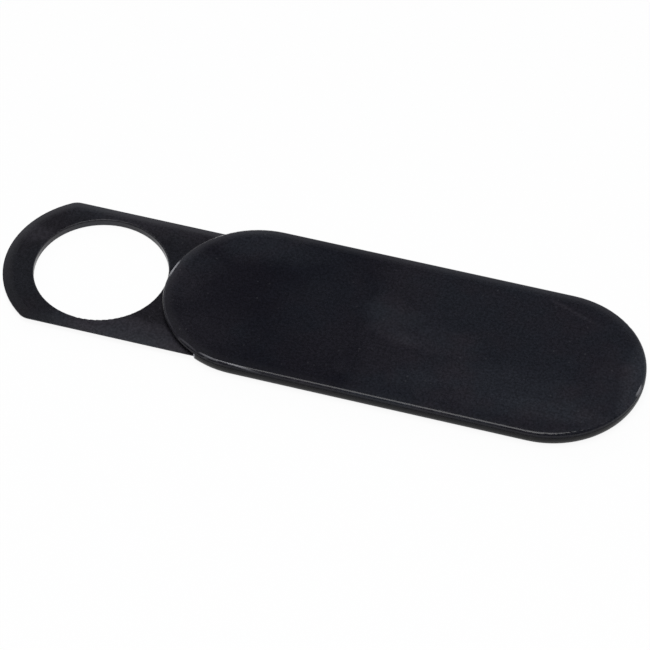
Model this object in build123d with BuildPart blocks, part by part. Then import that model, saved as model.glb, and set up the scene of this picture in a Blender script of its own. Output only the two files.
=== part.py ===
from build123d import *
import os
from math import sqrt

# Webcam cover slider: a thin cover that runs along a strip stuck round a camera lens.
# The cover is a plate welded to a low frame, and lips on the frame hold the rails of the strip.
# Millimetres. The lens hole's axis meets the mounting face at the origin.
# +X runs from the lens hole towards the cover, and +Z leaves the mounting face.
# The cover stands open, with the lens hole clear of it.

# Base strip
lens_diameter = 10.1
ring_side = 1.1  # rim beside the lens hole
ring_end = 2.3  # rim beyond the lens hole, at the strip's round end
ring_corner = 1.2  # rounding where the round end meets the straight sides
strip_thickness = 0.55
bevel_width = 0.5  # border over which the strip slopes down to its outline
bevel_drop = 0.1
bevel_blend = 3.0  # rounding that leads from the flat face into the slope
strip_undercut = 0.35  # bevel under the strip's outline
lens_edge = 0.12  # rounding of the lens hole's upper edge

# Rails of the strip, raised along its sides and round its rear end
rail_thickness = 0.4
rail_band = 1.1

# Adhesive pad
adhesive_thickness = 0.1
adhesive_margin = 0.05  # strip's flat underside left bare along its outline
adhesive_lens_margin = 0.2  # and round the lens hole

# Cover
cover_length = 36.4
wall_thickness = 0.4
lip_reach = 0.35  # how far the lips stand in from the wall
lip_thickness = 0.4
mouth_tip = 0.12  # blunt end of the wall at each side of the mouth
frame_undercut = 0.4  # how far the wall's curved side comes in at its foot
plate_thickness = 0.42
crown_width = 0.9  # border over which the plate curves down to its rim
crown_drop = 0.1
plate_edge = 0.25  # rounding of the plate's rim
seam_edge = 0.02  # edge break on each side of the parting line

# Clearances
slide_clearance = 0.05  # round the rails: to the lips, the plate, the walls and both stops
mouth_clearance = 0.1  # strip to each lip
open_gap = 0.15  # lens hole to the cover's front end, when open

# Widths, each built up from the lens hole outwards
lens_radius = lens_diameter / 2
ring_radius = lens_radius + ring_end
strip_width = lens_diameter + 2 * ring_side
lip_opening = strip_width + 2 * mouth_clearance
channel_width = lip_opening + 2 * lip_reach
rail_width = channel_width - 2 * slide_clearance
cover_width = channel_width + 2 * wall_thickness

# Places along the slide: the cover's two round ends, and the strip's rear end
cover_radius = cover_width / 2
cover_front = lens_radius + open_gap
front_centre = cover_front + cover_radius
rear_centre = cover_front + cover_length - cover_radius
cover_straight = rear_centre - front_centre
cover_middle = (front_centre + rear_centre) / 2
# Shut, the cover's front end is level with the strip's end
travel = cover_front + ring_radius
strip_rear_centre = rear_centre - travel

# Heights: the frame's underside is level with the strip's
strip_bottom = adhesive_thickness
web_bottom = strip_bottom + strip_undercut
frame_bottom = strip_bottom
lip_top = frame_bottom + lip_thickness
rail_bottom = lip_top + slide_clearance
rail_top = rail_bottom + rail_thickness
frame_top = rail_top + slide_clearance
plate_top = frame_top + plate_thickness

# Rails
rail_inner_width = rail_width - 2 * rail_band
rail_straight = strip_rear_centre - front_centre
rail_middle = (front_centre + strip_rear_centre) / 2
# They start where their round front ends cross the strip's sides
rail_front = front_centre - sqrt((rail_width / 2) ** 2 - (strip_width / 2) ** 2)

# The walls end blunt at the mouth, where they are still as wide as the tip
tip_front = front_centre - sqrt(cover_radius**2 - (lip_opening / 2 + mouth_tip) ** 2)


def run_round_cover(section):
    """A section at the front centre, run half along both sides and round the front, then mirrored."""
    extrude(section, amount=cover_straight / 2)
    mirror(about=Plane.XZ)
    revolve(section, axis=Axis((front_centre, 0, 0), (0, 0, 1)), revolution_arc=180)
    mirror(about=Plane.YZ.offset(cover_middle))


def strip_outline():
    """Round end about the lens hole, straight sides and a half-round rear end."""
    Circle(ring_radius)
    Rectangle(2 * ring_radius, strip_width, mode=Mode.INTERSECT)
    with Locations((strip_rear_centre / 2, 0)):
        Rectangle(strip_rear_centre, strip_width)
    with Locations((strip_rear_centre, 0)):
        Circle(strip_width / 2)


def rail_outline(width):
    """U-shaped band along both sides and the rear end, with round shoulders in front."""
    with Locations((rail_middle, 0)):
        SlotCenterToCenter(rail_straight, width)
        SlotCenterToCenter(rail_straight, rail_inner_width, mode=Mode.SUBTRACT)
    with Locations((front_centre, 0)):
        Rectangle(cover_radius, rail_inner_width, align=(Align.MAX, Align.CENTER), mode=Mode.SUBTRACT)
    with Locations((rail_front, 0)):
        Rectangle(cover_radius, cover_width, align=(Align.MAX, Align.CENTER), mode=Mode.SUBTRACT)


# Section of the plate: flat, with a border that curves down to a rounded rim
with BuildSketch(Plane.YZ.offset(front_centre)) as plate_section:
    with BuildLine():
        Polyline(
            (cover_radius - crown_width, plate_top),
            (0, plate_top),
            (0, frame_top),
            (cover_radius - seam_edge, frame_top),
            (cover_radius, frame_top + seam_edge),
            (cover_radius, plate_top - crown_drop),
        )
        TangentArc(
            (cover_radius - crown_width, plate_top),
            (cover_radius, plate_top - crown_drop),
            tangent=(1, 0),
        )
    make_face()
    rim_corner = plate_section.vertices().group_by(Axis.X)[-1].sort_by(Axis.Y)[-1]
    fillet(rim_corner, radius=plate_edge)

# Section of the frame: a wall that curves in to its foot, and a lip inside it
with BuildSketch(Plane.YZ.offset(front_centre)) as frame_section:
    with BuildLine():
        Polyline(
            (cover_radius - frame_undercut, frame_bottom),
            (lip_opening / 2, frame_bottom),
            (lip_opening / 2, lip_top),
            (channel_width / 2, lip_top),
            (channel_width / 2, frame_top),
            (cover_radius - seam_edge, frame_top),
            (cover_radius, frame_top - seam_edge),
        )
        EllipticalCenterArc(
            (cover_radius - frame_undercut, frame_top - seam_edge),
            frame_undercut,
            frame_top - seam_edge - frame_bottom,
            start_angle=-90,
            arc_size=90,
        )
    make_face()

# Top plate
with BuildPart() as top_plate:
    run_round_cover(plate_section.sketch)

# Rail frame, with a mouth through its round front for the strip
with BuildPart() as rail_frame:
    run_round_cover(frame_section.sketch)
    with BuildSketch(Plane.XY.offset(frame_bottom)):
        with Locations((front_centre, 0)):
            Rectangle(cover_radius, lip_opening, align=(Align.MAX, Align.CENTER))
        with Locations((tip_front, 0)):
            Rectangle(cover_radius, cover_width, align=(Align.MAX, Align.CENTER))
    extrude(amount=frame_top - frame_bottom, mode=Mode.SUBTRACT)

# Base strip: bevelled ring end, with rails on its hidden part that overhang the frame's lips
with BuildPart() as base_strip:
    with BuildSketch(Plane.XY.offset(strip_bottom)) as strip_sketch:
        strip_outline()
        fillet(strip_sketch.vertices().group_by(Axis.X)[0], radius=ring_corner)
        Circle(lens_radius, mode=Mode.SUBTRACT)
    extrude(amount=strip_thickness)
    fillet(base_strip.faces().sort_by(Axis.Z)[-1].inner_wires().edges(), radius=lens_edge)
    upper_face = base_strip.faces().sort_by(Axis.Z)[-1]
    chamfer(upper_face.outer_wire().edges(), length=bevel_width, length2=bevel_drop, reference=upper_face)
    fillet(base_strip.faces().sort_by(Axis.Z)[-1].outer_wire().edges(), radius=bevel_blend)
    chamfer(base_strip.faces().sort_by(Axis.Z)[0].outer_wire().edges(), length=strip_undercut)
    # Rail flanges, above the lips
    with BuildSketch(Plane.XY.offset(rail_bottom)):
        rail_outline(rail_width)
    extrude(amount=rail_thickness)
    # Rail webs, between the lips
    with BuildSketch(Plane.XY.offset(web_bottom)):
        rail_outline(strip_width)
    extrude(amount=rail_top - web_bottom)

# Adhesive pad: the strip's outline, set in all round, with room round the lens
with BuildPart() as adhesive_pad:
    with BuildSketch() as pad_sketch:
        strip_outline()
        fillet(pad_sketch.vertices().group_by(Axis.X)[0], radius=ring_corner)
        offset(amount=-(strip_undercut + adhesive_margin))
        Circle(lens_radius + adhesive_lens_margin, mode=Mode.SUBTRACT)
    extrude(amount=adhesive_thickness)

pieces = {
    "top_plate": top_plate,
    "rail_frame": rail_frame,
    "base_strip": base_strip,
    "adhesive_pad": adhesive_pad,
}
os.makedirs("parts", exist_ok=True)
for name, piece in pieces.items():
    piece.part.label = name
    export_step(piece.part, f"parts/{name}.step")
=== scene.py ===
"""Webcam cover slider: finishes, floor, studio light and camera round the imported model, in metres."""

import math
from typing import NamedTuple

import bpy
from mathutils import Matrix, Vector


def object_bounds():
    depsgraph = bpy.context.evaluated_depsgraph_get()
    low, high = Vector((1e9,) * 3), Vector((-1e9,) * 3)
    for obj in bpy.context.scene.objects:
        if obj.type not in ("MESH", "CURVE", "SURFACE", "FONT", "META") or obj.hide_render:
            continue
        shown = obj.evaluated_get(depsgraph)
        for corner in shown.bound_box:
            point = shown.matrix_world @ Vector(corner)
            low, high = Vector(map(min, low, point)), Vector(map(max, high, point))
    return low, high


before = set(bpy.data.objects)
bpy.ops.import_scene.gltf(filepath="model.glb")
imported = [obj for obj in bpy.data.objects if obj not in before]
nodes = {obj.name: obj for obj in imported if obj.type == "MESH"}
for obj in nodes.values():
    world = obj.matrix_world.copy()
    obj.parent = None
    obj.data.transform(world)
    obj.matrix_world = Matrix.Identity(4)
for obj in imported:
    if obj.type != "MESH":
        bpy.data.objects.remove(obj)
cad_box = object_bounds()

MM = 0.001


class Smudge(NamedTuple):
    """A film, a painted sheen or a painted glint on a piece, seen from above, in millimetres and
    degrees.
    """

    centre: tuple
    half_widths: tuple
    turn: float
    softness: float  # how far its border spreads each way, as a share of its half-widths
    strength: float  # how much of the plastic it hides, from 0 to 1


class Plastic(NamedTuple):
    """What sets the finish of one moulded piece apart from the others."""

    black: tuple  # base colour, linear
    roughness: float
    gloss: float  # specular level
    rim_finish: float  # roughness of the rims, as a multiple of the rest
    rim_wear: float  # how much the rims are rubbed, from 0 to 1
    flank_finish: float  # roughness of the upright sides, as a multiple of the rest
    flank_wear: float  # how much lighter the upright sides are, from 0 to 1
    flank_glints: float  # how much of a painted glint shows on the upright sides, from 0 to 1
    # The last two hold films of handling and painted sheen, then painted glints: pale marks that stand
    # in for highlights on rims.
    films_and_sheen: tuple
    painted_glints: tuple


class Lamp(NamedTuple):
    """A square softbox that faces the object, in degrees, metres and watts."""

    azimuth: float
    elevation: float
    distance: float
    width: float
    power: float


# Camera: the photograph's viewing angle
CAMERA_AZIMUTH = 16.73
CAMERA_ELEVATION = 47.76
CAMERA_DISTANCE = 300 * MM
CAMERA_CLEAR = 10 * MM  # nothing nearer to the camera than this is shown
SENSOR_WIDTH = 36.0
LENS = 225.6

# What the camera and the lamps face: a point near the middle of the object
AIM = Vector((17.63, -0.64, 0.7)) * MM

# Lamps
KEY = Lamp(azimuth=17, elevation=79, distance=0.45, width=0.31, power=1.7)
LEFT_FILL = Lamp(azimuth=240, elevation=45, distance=0.45, width=0.33, power=0.11)

# Floor
FLOOR_RADIUS = 1.5
FLOOR_CORNERS = 64
FLOOR_DROP = 0.02 * MM  # under the adhesive, so that the two faces never coincide
FLOOR_COLOUR = (0.95, 0.95, 0.95, 1.0)
FLOOR_GLOW = 0.92  # share of plain white in the floor that is seen, so that the shadow stays faint

# Surroundings: a pale wall behind the object, a dark one in front, a dim room and a pale ceiling.
# Heights on them are sines of the elevation.
ROOM_TINT = (0.97, 0.98, 1.05, 1.0)
ROOM_LEVEL = 0.05
FLOOR_LEVEL = 0.9  # light from below the horizon
PALE_WALL_AZIMUTH = 205
PALE_WALL_LEVEL = 1.0
DARK_WALL_LEVEL = 0.12
WALL_TURN = (-0.3, 0.7)  # cosine of the angle to the pale wall, from the dark level to the pale one
WALL_RISE = (0.12, 0.42)  # heights over which the walls brighten
WALL_FADE = (0.45, 0.74)  # heights over which they fade into the room
SKIRTING_SHARE = 0.05  # how bright the walls are where they meet the floor, as a share
CEILING_RISE = (0.75, 1.0)  # heights over which the room brightens into the ceiling
CEILING_LEVEL = 0.25

# Noises: how fine and how rough they are
NOISE_DETAIL = 3.0
NOISE_ROUGHNESS = 0.6
SOFT_DETAIL = 4.0
FINE_DETAIL = 2.0
FINE_ROUGHNESS = 0.7
NOISE_SPAN = (0.3, 0.7)  # where most of a noise lies
FULL_SPAN = (0.0, 1.0)

# Grain of the plastics
GRIT_SCALE = 5.0
GRIT_TONES = (0.72, 1.28)
GRAIN_SCALE = 11.0
GRAIN_TONES = (0.85, 1.15)
GRAIN_SHARE = 0.5  # height of the grain, as a share of the grit's
GRAIN_BUMP = 0.5
GRAIN_DEPTH = 0.004 * MM
ROUGHNESS_TONES = (0.9, 1.1)

# Colour that drifts across the plastics
TINT_SCALE = 0.15
TINT_SPAN = (0.4, 0.6)
COOL_TINT = (0.93, 1.03, 1.04, 1.0)
WARM_TINT = (1.07, 0.98, 0.98, 1.0)
MOTTLE_SCALE = 0.35
MOTTLE_STRENGTH = 0.08

# Parts of a moulded piece, told apart by how far its surface faces up: 1 is level, 0 is upright
FLANK_SPAN = (0.1, 0.3)
RIM_FOOT_SPAN = (0.2, 0.6)
RIM_TOP_SPAN = (0.88, 0.97)
SLOPE_SPAN = (0.96, 0.985)

# Films of handling and painted sheen, painted glints (pale marks in place of highlights), rubbed rims
# and dust
# Colour of the films of handling, and of the painted sheen made with them
FILM_AND_SHEEN_GREY = (0.0208, 0.0211, 0.0266, 1.0)
# Colour of the painted glints
GLINT_GREY = (0.30, 0.30, 0.32, 1.0)
SMUDGE_DEPTH = 1000.0  # they reach through the whole thickness, in millimetres
RAGGED_SCALE = 0.5
RAGGED_REACH = 0.3  # how far their borders wander, as a share of their softness
RUBBED_SPAN = (0.4, 0.65)
DUST_GREY = (0.06, 0.06, 0.066, 1.0)
DUST_SCALE = 2.2
DUST_SIZE = (0.1, 0.22)  # distances from a speck's middle over which it fades, as shares of a cell
DUST_PICK = (0.8, 1.0)  # the few cells that have a speck
DUST_STRENGTH = 0.28

PLATE = Plastic(
    black=(0.0034, 0.0035, 0.0068, 1.0),
    roughness=0.22,
    gloss=0.25,
    rim_finish=0.85,
    rim_wear=0.2,
    flank_finish=3.6,
    flank_wear=0.0,
    flank_glints=0.0,
    films_and_sheen=(
        # The half away from the mouth, and a weaker one before it
        Smudge((60.0, 5.0), (39.6, 60.0), 0, 0.04, 0.34),
        Smudge((18.2, -0.3), (3.6, 5.5), 0, 0.7, 0.2),
        # Fingermark in the middle
        Smudge((23.9, -0.9), (1.9, 0.9), -15, 0.8, 0.8),
        Smudge((22.6, 0.8), (2.4, 2.4), 0, 0.8, 0.62),
        Smudge((26.6, -0.6), (3.8, 2.0), 0, 0.6, 0.52),
        # Near side and rear end
        Smudge((33.0, -3.8), (11.0, 3.2), 0, 0.6, 0.58),
        Smudge((36.0, -4.4), (6.0, 1.3), 0, 0.6, 0.75),
        Smudge((40.6, -1.0), (4.0, 5.5), 0, 0.7, 0.5),
        Smudge((43.0, -0.5), (3.2, 7.0), 0, 0.35, 1.0),
        # Streak on the far side
        Smudge((35.2, 5.15), (3.0, 0.18), -21, 0.8, 0.7),
        # Round the front end; the first two are painted sheen on a lighter border inside the rim
        Smudge((11.0, 5.3), (4.5, 1.7), 0, 0.6, 0.42),
        Smudge((5.4, 0.9), (2.2, 2.9), 0, 0.8, 0.5),
        Smudge((9.4, -4.4), (3.6, 2.2), 0, 0.7, 0.2),
        # Foot of the near rim: a painted reflection, a pale line under the rim's highlight
        Smudge((23.4, -6.93), (12.5, 0.06), 0, 0.5, 1.0),
    ),
    painted_glints=(
        # Painted glints on the rims of the front end and the rear end
        Smudge((5.33, 1.05), (0.3, 0.8), -9, 0.4, 0.85),
        Smudge((41.4, -0.75), (0.1, 0.5), -6, 0.5, 0.5),
        # Painted highlight along the near rim, beside the mouth
        Smudge((8.72, -5.91), (0.9, 0.06), -30, 0.6, 0.12),
        Smudge((10.55, -6.64), (0.65, 0.06), -15, 0.6, 0.42),
        Smudge((12.4, -6.84), (1.6, 0.05), -4, 0.6, 0.5),
    ),
)
FRAME = Plastic(
    black=(0.0060, 0.0058, 0.0068, 1.0),
    roughness=0.35,
    gloss=0.08,
    rim_finish=1.0,
    rim_wear=1.0,
    flank_finish=1.0,
    flank_wear=0.0,
    flank_glints=1.0,
    films_and_sheen=(),
    painted_glints=(
        # Painted glint on the corner of the near tip, at the mouth
        Smudge((9.3, -6.38), (0.12, 0.06), -24, 0.4, 1.0),
    ),
)
STRIP = Plastic(
    black=(0.0067, 0.0064, 0.0091, 1.0),
    roughness=0.24,
    gloss=0.27,
    rim_finish=2.0,
    rim_wear=1.0,
    flank_finish=1.0,
    flank_wear=0.9,
    flank_glints=0.0,
    films_and_sheen=(
        # Both sides of the lens hole, and the round end
        Smudge((3.8, -5.6), (5.2, 1.6), 0, 0.35, 0.95),
        Smudge((0.5, 5.5), (5.0, 1.0), 0, 0.6, 0.45),
        Smudge((-5.85, 2.2), (1.2, 0.8), 0, 0.6, 0.6),
    ),
    painted_glints=(),
)

# Adhesive tape
TAPE_THIN = (0.66, 0.65, 0.60, 1.0)
TAPE_THICK = (0.78, 0.77, 0.73, 1.0)
TAPE_HAZE_SCALE = 0.6
FIBRE_WHITE = (0.88, 0.87, 0.84, 1.0)
FIBRE_STRENGTH = 0.5
FIBRE_SPAN = (0.5, 0.72)
FIBRE_LAYS = (((1.2, 9.0, 1.0), 0.5), ((9.0, 1.2, 1.0), 0.3))  # stretch and turn, in radians
FIBRE_ROUGHNESS = (0.35, 0.55)  # between the fibres and on them
FIBRE_BUMP = 0.4
FIBRE_DEPTH = 0.01 * MM


class Graph:
    """A node tree with short calls for adding nodes and joining sockets."""

    def __init__(self, tree):
        self.tree = tree
        tree.nodes.clear()

    def fill(self, socket, value):
        if isinstance(value, bpy.types.NodeSocket):
            self.tree.links.new(value, socket)
        else:
            socket.default_value = value

    def add(self, kind, inputs=None, **settings):
        node = self.tree.nodes.new(kind)
        for name, value in settings.items():
            setattr(node, name, value)
        for name, value in (inputs or {}).items():
            self.fill(node.inputs[name], value)
        return node

    def math(self, operation, first, second):
        node = self.add("ShaderNodeMath", {0: first, 1: second}, operation=operation)
        return node.outputs[0]

    def remap(self, value, span, to=FULL_SPAN):
        """Smooth step from one range to another."""
        ends = {"From Min": span[0], "From Max": span[1], "To Min": to[0], "To Max": to[1]}
        node = self.add("ShaderNodeMapRange", {"Value": value, **ends}, interpolation_type="SMOOTHSTEP")
        return node.outputs["Result"]

    def noise(self, vector, scale, detail=NOISE_DETAIL, roughness=NOISE_ROUGHNESS):
        inputs = {"Vector": vector, "Scale": scale, "Detail": detail, "Roughness": roughness}
        return self.add("ShaderNodeTexNoise", inputs).outputs["Fac"]

    def mix_colour(self, factor, first, second, blend="MIX"):
        """Mixes two colours, which have the seventh and eighth sockets of the node."""
        inputs = {0: factor, 6: first, 7: second}
        node = self.add("ShaderNodeMix", data_type="RGBA", blend_type=blend, inputs=inputs)
        return node.outputs[2]

    def multiply_colour(self, first, second):
        return self.mix_colour(1.0, first, second, blend="MULTIPLY")

    def bump(self, height, strength, depth):
        node = self.add("ShaderNodeBump", {"Height": height, "Strength": strength, "Distance": depth})
        return node.outputs["Normal"]

    def show(self, shader):
        """Ends a material in a shader."""
        self.add("ShaderNodeOutputMaterial", {"Surface": shader.outputs[0]})


def direction(azimuth, elevation):
    """Unit vector from the object towards a place: azimuth 0 is on the near side and 90 on the right."""
    a = math.radians(azimuth)
    e = math.radians(elevation)
    return Vector((math.sin(a) * math.cos(e), -math.cos(a) * math.cos(e), math.sin(e)))


def hold(name, data, azimuth, elevation, distance):
    """Stands a lamp or a camera in a direction from the object, facing it."""
    towards = direction(azimuth, elevation)
    holder = bpy.data.objects.new(name, data)
    holder.location = AIM + towards * distance
    holder.rotation_mode = "QUATERNION"
    holder.rotation_quaternion = towards.to_track_quat("Z", "Y")
    bpy.context.scene.collection.objects.link(holder)
    return holder


def new_material(name):
    material = bpy.data.materials.new(name)
    material.use_nodes = True
    return material, Graph(material.node_tree)


def surface_place(graph):
    """The object's own coordinates, in millimetres, and its own normal."""
    place = graph.add("ShaderNodeTexCoord")
    inputs = {"Vector": place.outputs["Object"], "Scale": 1 / MM}
    scaled = graph.add("ShaderNodeVectorMath", inputs, operation="SCALE")
    return scaled.outputs[0], place.outputs["Normal"]


def smudges(graph, mm, marks):
    """How much of a film, a painted sheen or a painted glint lies on each place, from 0 to 1."""
    noise = graph.noise(mm, RAGGED_SCALE, SOFT_DETAIL)
    ragged = graph.remap(noise, NOISE_SPAN, (-RAGGED_REACH, RAGGED_REACH))
    amount = 0.0
    for mark in marks:
        inputs = {
            "Vector": mm,
            "Location": (*mark.centre, 0),
            "Rotation": (0, 0, math.radians(mark.turn)),
            "Scale": (*mark.half_widths, SMUDGE_DEPTH),
        }
        scaled = graph.add("ShaderNodeMapping", inputs, vector_type="TEXTURE")
        length = graph.add("ShaderNodeVectorMath", {"Vector": scaled.outputs[0]}, operation="LENGTH")
        wander = graph.math("MULTIPLY", ragged, mark.softness)
        away = graph.math("ADD", length.outputs["Value"], wander)
        border = (1 - mark.softness, 1 + mark.softness)
        amount = graph.math("MAXIMUM", amount, graph.remap(away, border, (mark.strength, 0.0)))
    return amount


def dust(graph, mm):
    """How much of a dust speck lies on each place."""
    cells = graph.add("ShaderNodeTexVoronoi", {"Vector": mm, "Scale": DUST_SCALE})
    dot = graph.remap(cells.outputs["Distance"], DUST_SIZE, (1.0, 0.0))
    draw = graph.add("ShaderNodeSeparateColor", {"Color": cells.outputs["Color"]})
    return graph.math("MULTIPLY", dot, graph.remap(draw.outputs["Red"], DUST_PICK, (0.0, DUST_STRENGTH)))


def moulded_plastic(name, plastic):
    """Near-black plastic with a fine spark-eroded grain, films of handling, painted sheen, painted
    glints on rims, worn rims and dust.
    """
    material, graph = new_material(name)
    mm, normal = surface_place(graph)
    upward = graph.add("ShaderNodeSeparateXYZ", {"Vector": normal}).outputs["Z"]
    rim_foot = graph.remap(upward, RIM_FOOT_SPAN)
    rim = graph.math("MULTIPLY", rim_foot, graph.remap(upward, RIM_TOP_SPAN, (1.0, 0.0)))
    grit = graph.noise(mm, GRIT_SCALE, FINE_DETAIL, FINE_ROUGHNESS)
    grain = graph.noise(mm, GRAIN_SCALE, FINE_DETAIL, FINE_ROUGHNESS)

    # Films of handling, painted sheen and rubbed places
    mottle = graph.noise(mm, MOTTLE_SCALE, SOFT_DETAIL)
    film = graph.remap(mottle, NOISE_SPAN, (0.0, MOTTLE_STRENGTH))
    colour = graph.mix_colour(film, plastic.black, FILM_AND_SHEEN_GREY)
    colour = graph.mix_colour(smudges(graph, mm, plastic.films_and_sheen), colour, FILM_AND_SHEEN_GREY)
    flank = graph.remap(upward, FLANK_SPAN, (plastic.flank_wear, 0.0))
    colour = graph.mix_colour(flank, colour, FILM_AND_SHEEN_GREY)
    rubbed = graph.math("MULTIPLY", rim, graph.remap(grit, RUBBED_SPAN, (0.0, plastic.rim_wear)))
    colour = graph.mix_colour(rubbed, colour, FILM_AND_SHEEN_GREY)

    # Tint and grain
    warmth = graph.remap(graph.noise(mm, TINT_SCALE), TINT_SPAN)
    colour = graph.multiply_colour(colour, graph.mix_colour(warmth, COOL_TINT, WARM_TINT))
    colour = graph.multiply_colour(colour, graph.remap(grit, NOISE_SPAN, GRIT_TONES))
    colour = graph.multiply_colour(colour, graph.remap(grain, NOISE_SPAN, GRAIN_TONES))

    # Painted glints, pale marks in place of highlights, only where the surface slopes away from level,
    # and dust
    slope = graph.remap(upward, SLOPE_SPAN, (1.0, 0.0))
    on_side = graph.remap(upward, FLANK_SPAN, (plastic.flank_glints, 1.0))
    exposed = graph.math("MULTIPLY", slope, on_side)
    painted_glint = graph.math("MULTIPLY", smudges(graph, mm, plastic.painted_glints), exposed)
    colour = graph.mix_colour(painted_glint, colour, GLINT_GREY)
    colour = graph.mix_colour(dust(graph, mm), colour, DUST_GREY)

    # Roughness and relief
    tones = [plastic.roughness * tone for tone in ROUGHNESS_TONES]
    on_rim = graph.remap(rim, FULL_SPAN, (1.0, plastic.rim_finish))
    on_flank = graph.remap(upward, FLANK_SPAN, (plastic.flank_finish, 1.0))
    rough = graph.math("MULTIPLY", graph.remap(grit, NOISE_SPAN, tones), on_rim)
    rough = graph.math("MULTIPLY", rough, on_flank)
    height = graph.math("ADD", grit, graph.math("MULTIPLY", grain, GRAIN_SHARE))

    inputs = {
        "Base Color": colour,
        "Roughness": rough,
        "Specular IOR Level": plastic.gloss,
        "Normal": graph.bump(height, GRAIN_BUMP, GRAIN_DEPTH),
    }
    graph.show(graph.add("ShaderNodeBsdfPrincipled", inputs))
    return material


def tissue_tape(name):
    """Milky double-sided tape on a tissue of fine crossed fibres."""
    material, graph = new_material(name)
    mm, _ = surface_place(graph)
    layers = []
    for stretch, turn in FIBRE_LAYS:
        inputs = {"Vector": mm, "Scale": stretch, "Rotation": (0, 0, turn)}
        layers.append(graph.noise(graph.add("ShaderNodeMapping", inputs).outputs[0], 1.0))
    fibre = graph.math("MAXIMUM", *layers)
    strand = graph.remap(fibre, FIBRE_SPAN)
    haze = graph.noise(mm, TAPE_HAZE_SCALE, SOFT_DETAIL)
    colour = graph.mix_colour(haze, TAPE_THIN, TAPE_THICK)
    colour = graph.mix_colour(graph.math("MULTIPLY", strand, FIBRE_STRENGTH), colour, FIBRE_WHITE)
    inputs = {
        "Base Color": colour,
        "Roughness": graph.remap(strand, FULL_SPAN, FIBRE_ROUGHNESS),
        "Normal": graph.bump(fibre, FIBRE_BUMP, FIBRE_DEPTH),
    }
    graph.show(graph.add("ShaderNodeBsdfPrincipled", inputs))
    return material


def seen_directly(graph):
    """1 for rays from the camera and for what gloss and glass show of the surroundings, else 0."""
    path = graph.add("ShaderNodeLightPath")
    shown = graph.math("MAXIMUM", path.outputs["Is Camera Ray"], path.outputs["Is Glossy Ray"])
    return graph.math("MAXIMUM", shown, path.outputs["Is Transmission Ray"])


def floor_paint():
    """White floor: mostly plain white where it is seen, and clear from below."""
    material, graph = new_material("floor_paint")
    paint = graph.add("ShaderNodeBsdfDiffuse", {"Color": FLOOR_COLOUR})
    white = graph.add("ShaderNodeEmission", {"Strength": 1.0})
    share = graph.math("MULTIPLY", seen_directly(graph), FLOOR_GLOW)
    lit = graph.add("ShaderNodeMixShader", {0: share, 1: paint.outputs[0], 2: white.outputs[0]})
    clear = graph.add("ShaderNodeBsdfTransparent")
    below = graph.add("ShaderNodeNewGeometry").outputs["Backfacing"]
    graph.show(graph.add("ShaderNodeMixShader", {0: below, 1: lit.outputs[0], 2: clear.outputs[0]}))
    return material


def make_floor():
    """Round floor under the adhesive. The world stands in for its light on the object."""
    bpy.ops.mesh.primitive_circle_add(vertices=FLOOR_CORNERS, radius=FLOOR_RADIUS, fill_type="NGON")
    floor = bpy.context.object
    floor.name = "floor"
    floor.location.z = cad_box[0].z - FLOOR_DROP
    floor.data.materials.append(floor_paint())
    floor.visible_diffuse = False
    floor.visible_shadow = False


def make_world():
    """Walls round the horizon, under a dim room and a pale ceiling, over a pale floor."""
    world = bpy.data.worlds.new("studio")
    world.use_nodes = True
    bpy.context.scene.world = world
    graph = Graph(world.node_tree)
    place = graph.add("ShaderNodeTexCoord").outputs["Generated"]
    height = graph.add("ShaderNodeSeparateXYZ", {"Vector": place}).outputs["Z"]

    behind = direction(PALE_WALL_AZIMUTH, 0)
    facing = graph.add("ShaderNodeVectorMath", {0: place, 1: behind}, operation="DOT_PRODUCT")
    levels = (DARK_WALL_LEVEL - ROOM_LEVEL, PALE_WALL_LEVEL - ROOM_LEVEL)
    wall = graph.remap(facing.outputs["Value"], WALL_TURN, levels)
    rise = graph.remap(height, WALL_RISE, (SKIRTING_SHARE, 1.0))
    fade = graph.remap(height, WALL_FADE, (1.0, 0.0))
    walls = graph.math("MULTIPLY", wall, graph.math("MULTIPLY", rise, fade))
    ceiling = graph.remap(height, CEILING_RISE, (ROOM_LEVEL, CEILING_LEVEL))

    is_below = graph.math("LESS_THAN", height, 0.0)
    is_above = graph.math("SUBTRACT", 1.0, is_below)
    below = graph.math("MULTIPLY", is_below, FLOOR_LEVEL)
    above = graph.math("MULTIPLY", is_above, graph.math("ADD", walls, ceiling))
    level = graph.math("ADD", below, above)
    background = graph.add("ShaderNodeBackground", {"Color": ROOM_TINT, "Strength": level})
    graph.add("ShaderNodeOutputWorld", {"Surface": background.outputs[0]})


def softbox(name, lamp):
    light = bpy.data.lights.new(name, "AREA")
    light.shape = "SQUARE"
    light.size = lamp.width
    light.energy = lamp.power
    hold(name, light, lamp.azimuth, lamp.elevation, lamp.distance)


def make_camera():
    camera = bpy.data.cameras.new("camera")
    camera.sensor_width = SENSOR_WIDTH
    camera.lens = LENS
    camera.clip_start = CAMERA_CLEAR
    holder = hold("camera", camera, CAMERA_AZIMUTH, CAMERA_ELEVATION, CAMERA_DISTANCE)
    bpy.context.scene.camera = holder


def dress(node, material):
    """Gives a CAD node its finish."""
    for slot in nodes[node].material_slots:
        slot.material = material


dress("top_plate", moulded_plastic("plate_plastic", PLATE))
dress("rail_frame", moulded_plastic("frame_plastic", FRAME))
dress("base_strip", moulded_plastic("strip_plastic", STRIP))
dress("adhesive_pad", tissue_tape("adhesive"))

make_floor()
make_world()
softbox("key", KEY)
softbox("left_fill", LEFT_FILL)
make_camera()

bpy.context.scene.view_settings.view_transform = "Standard"
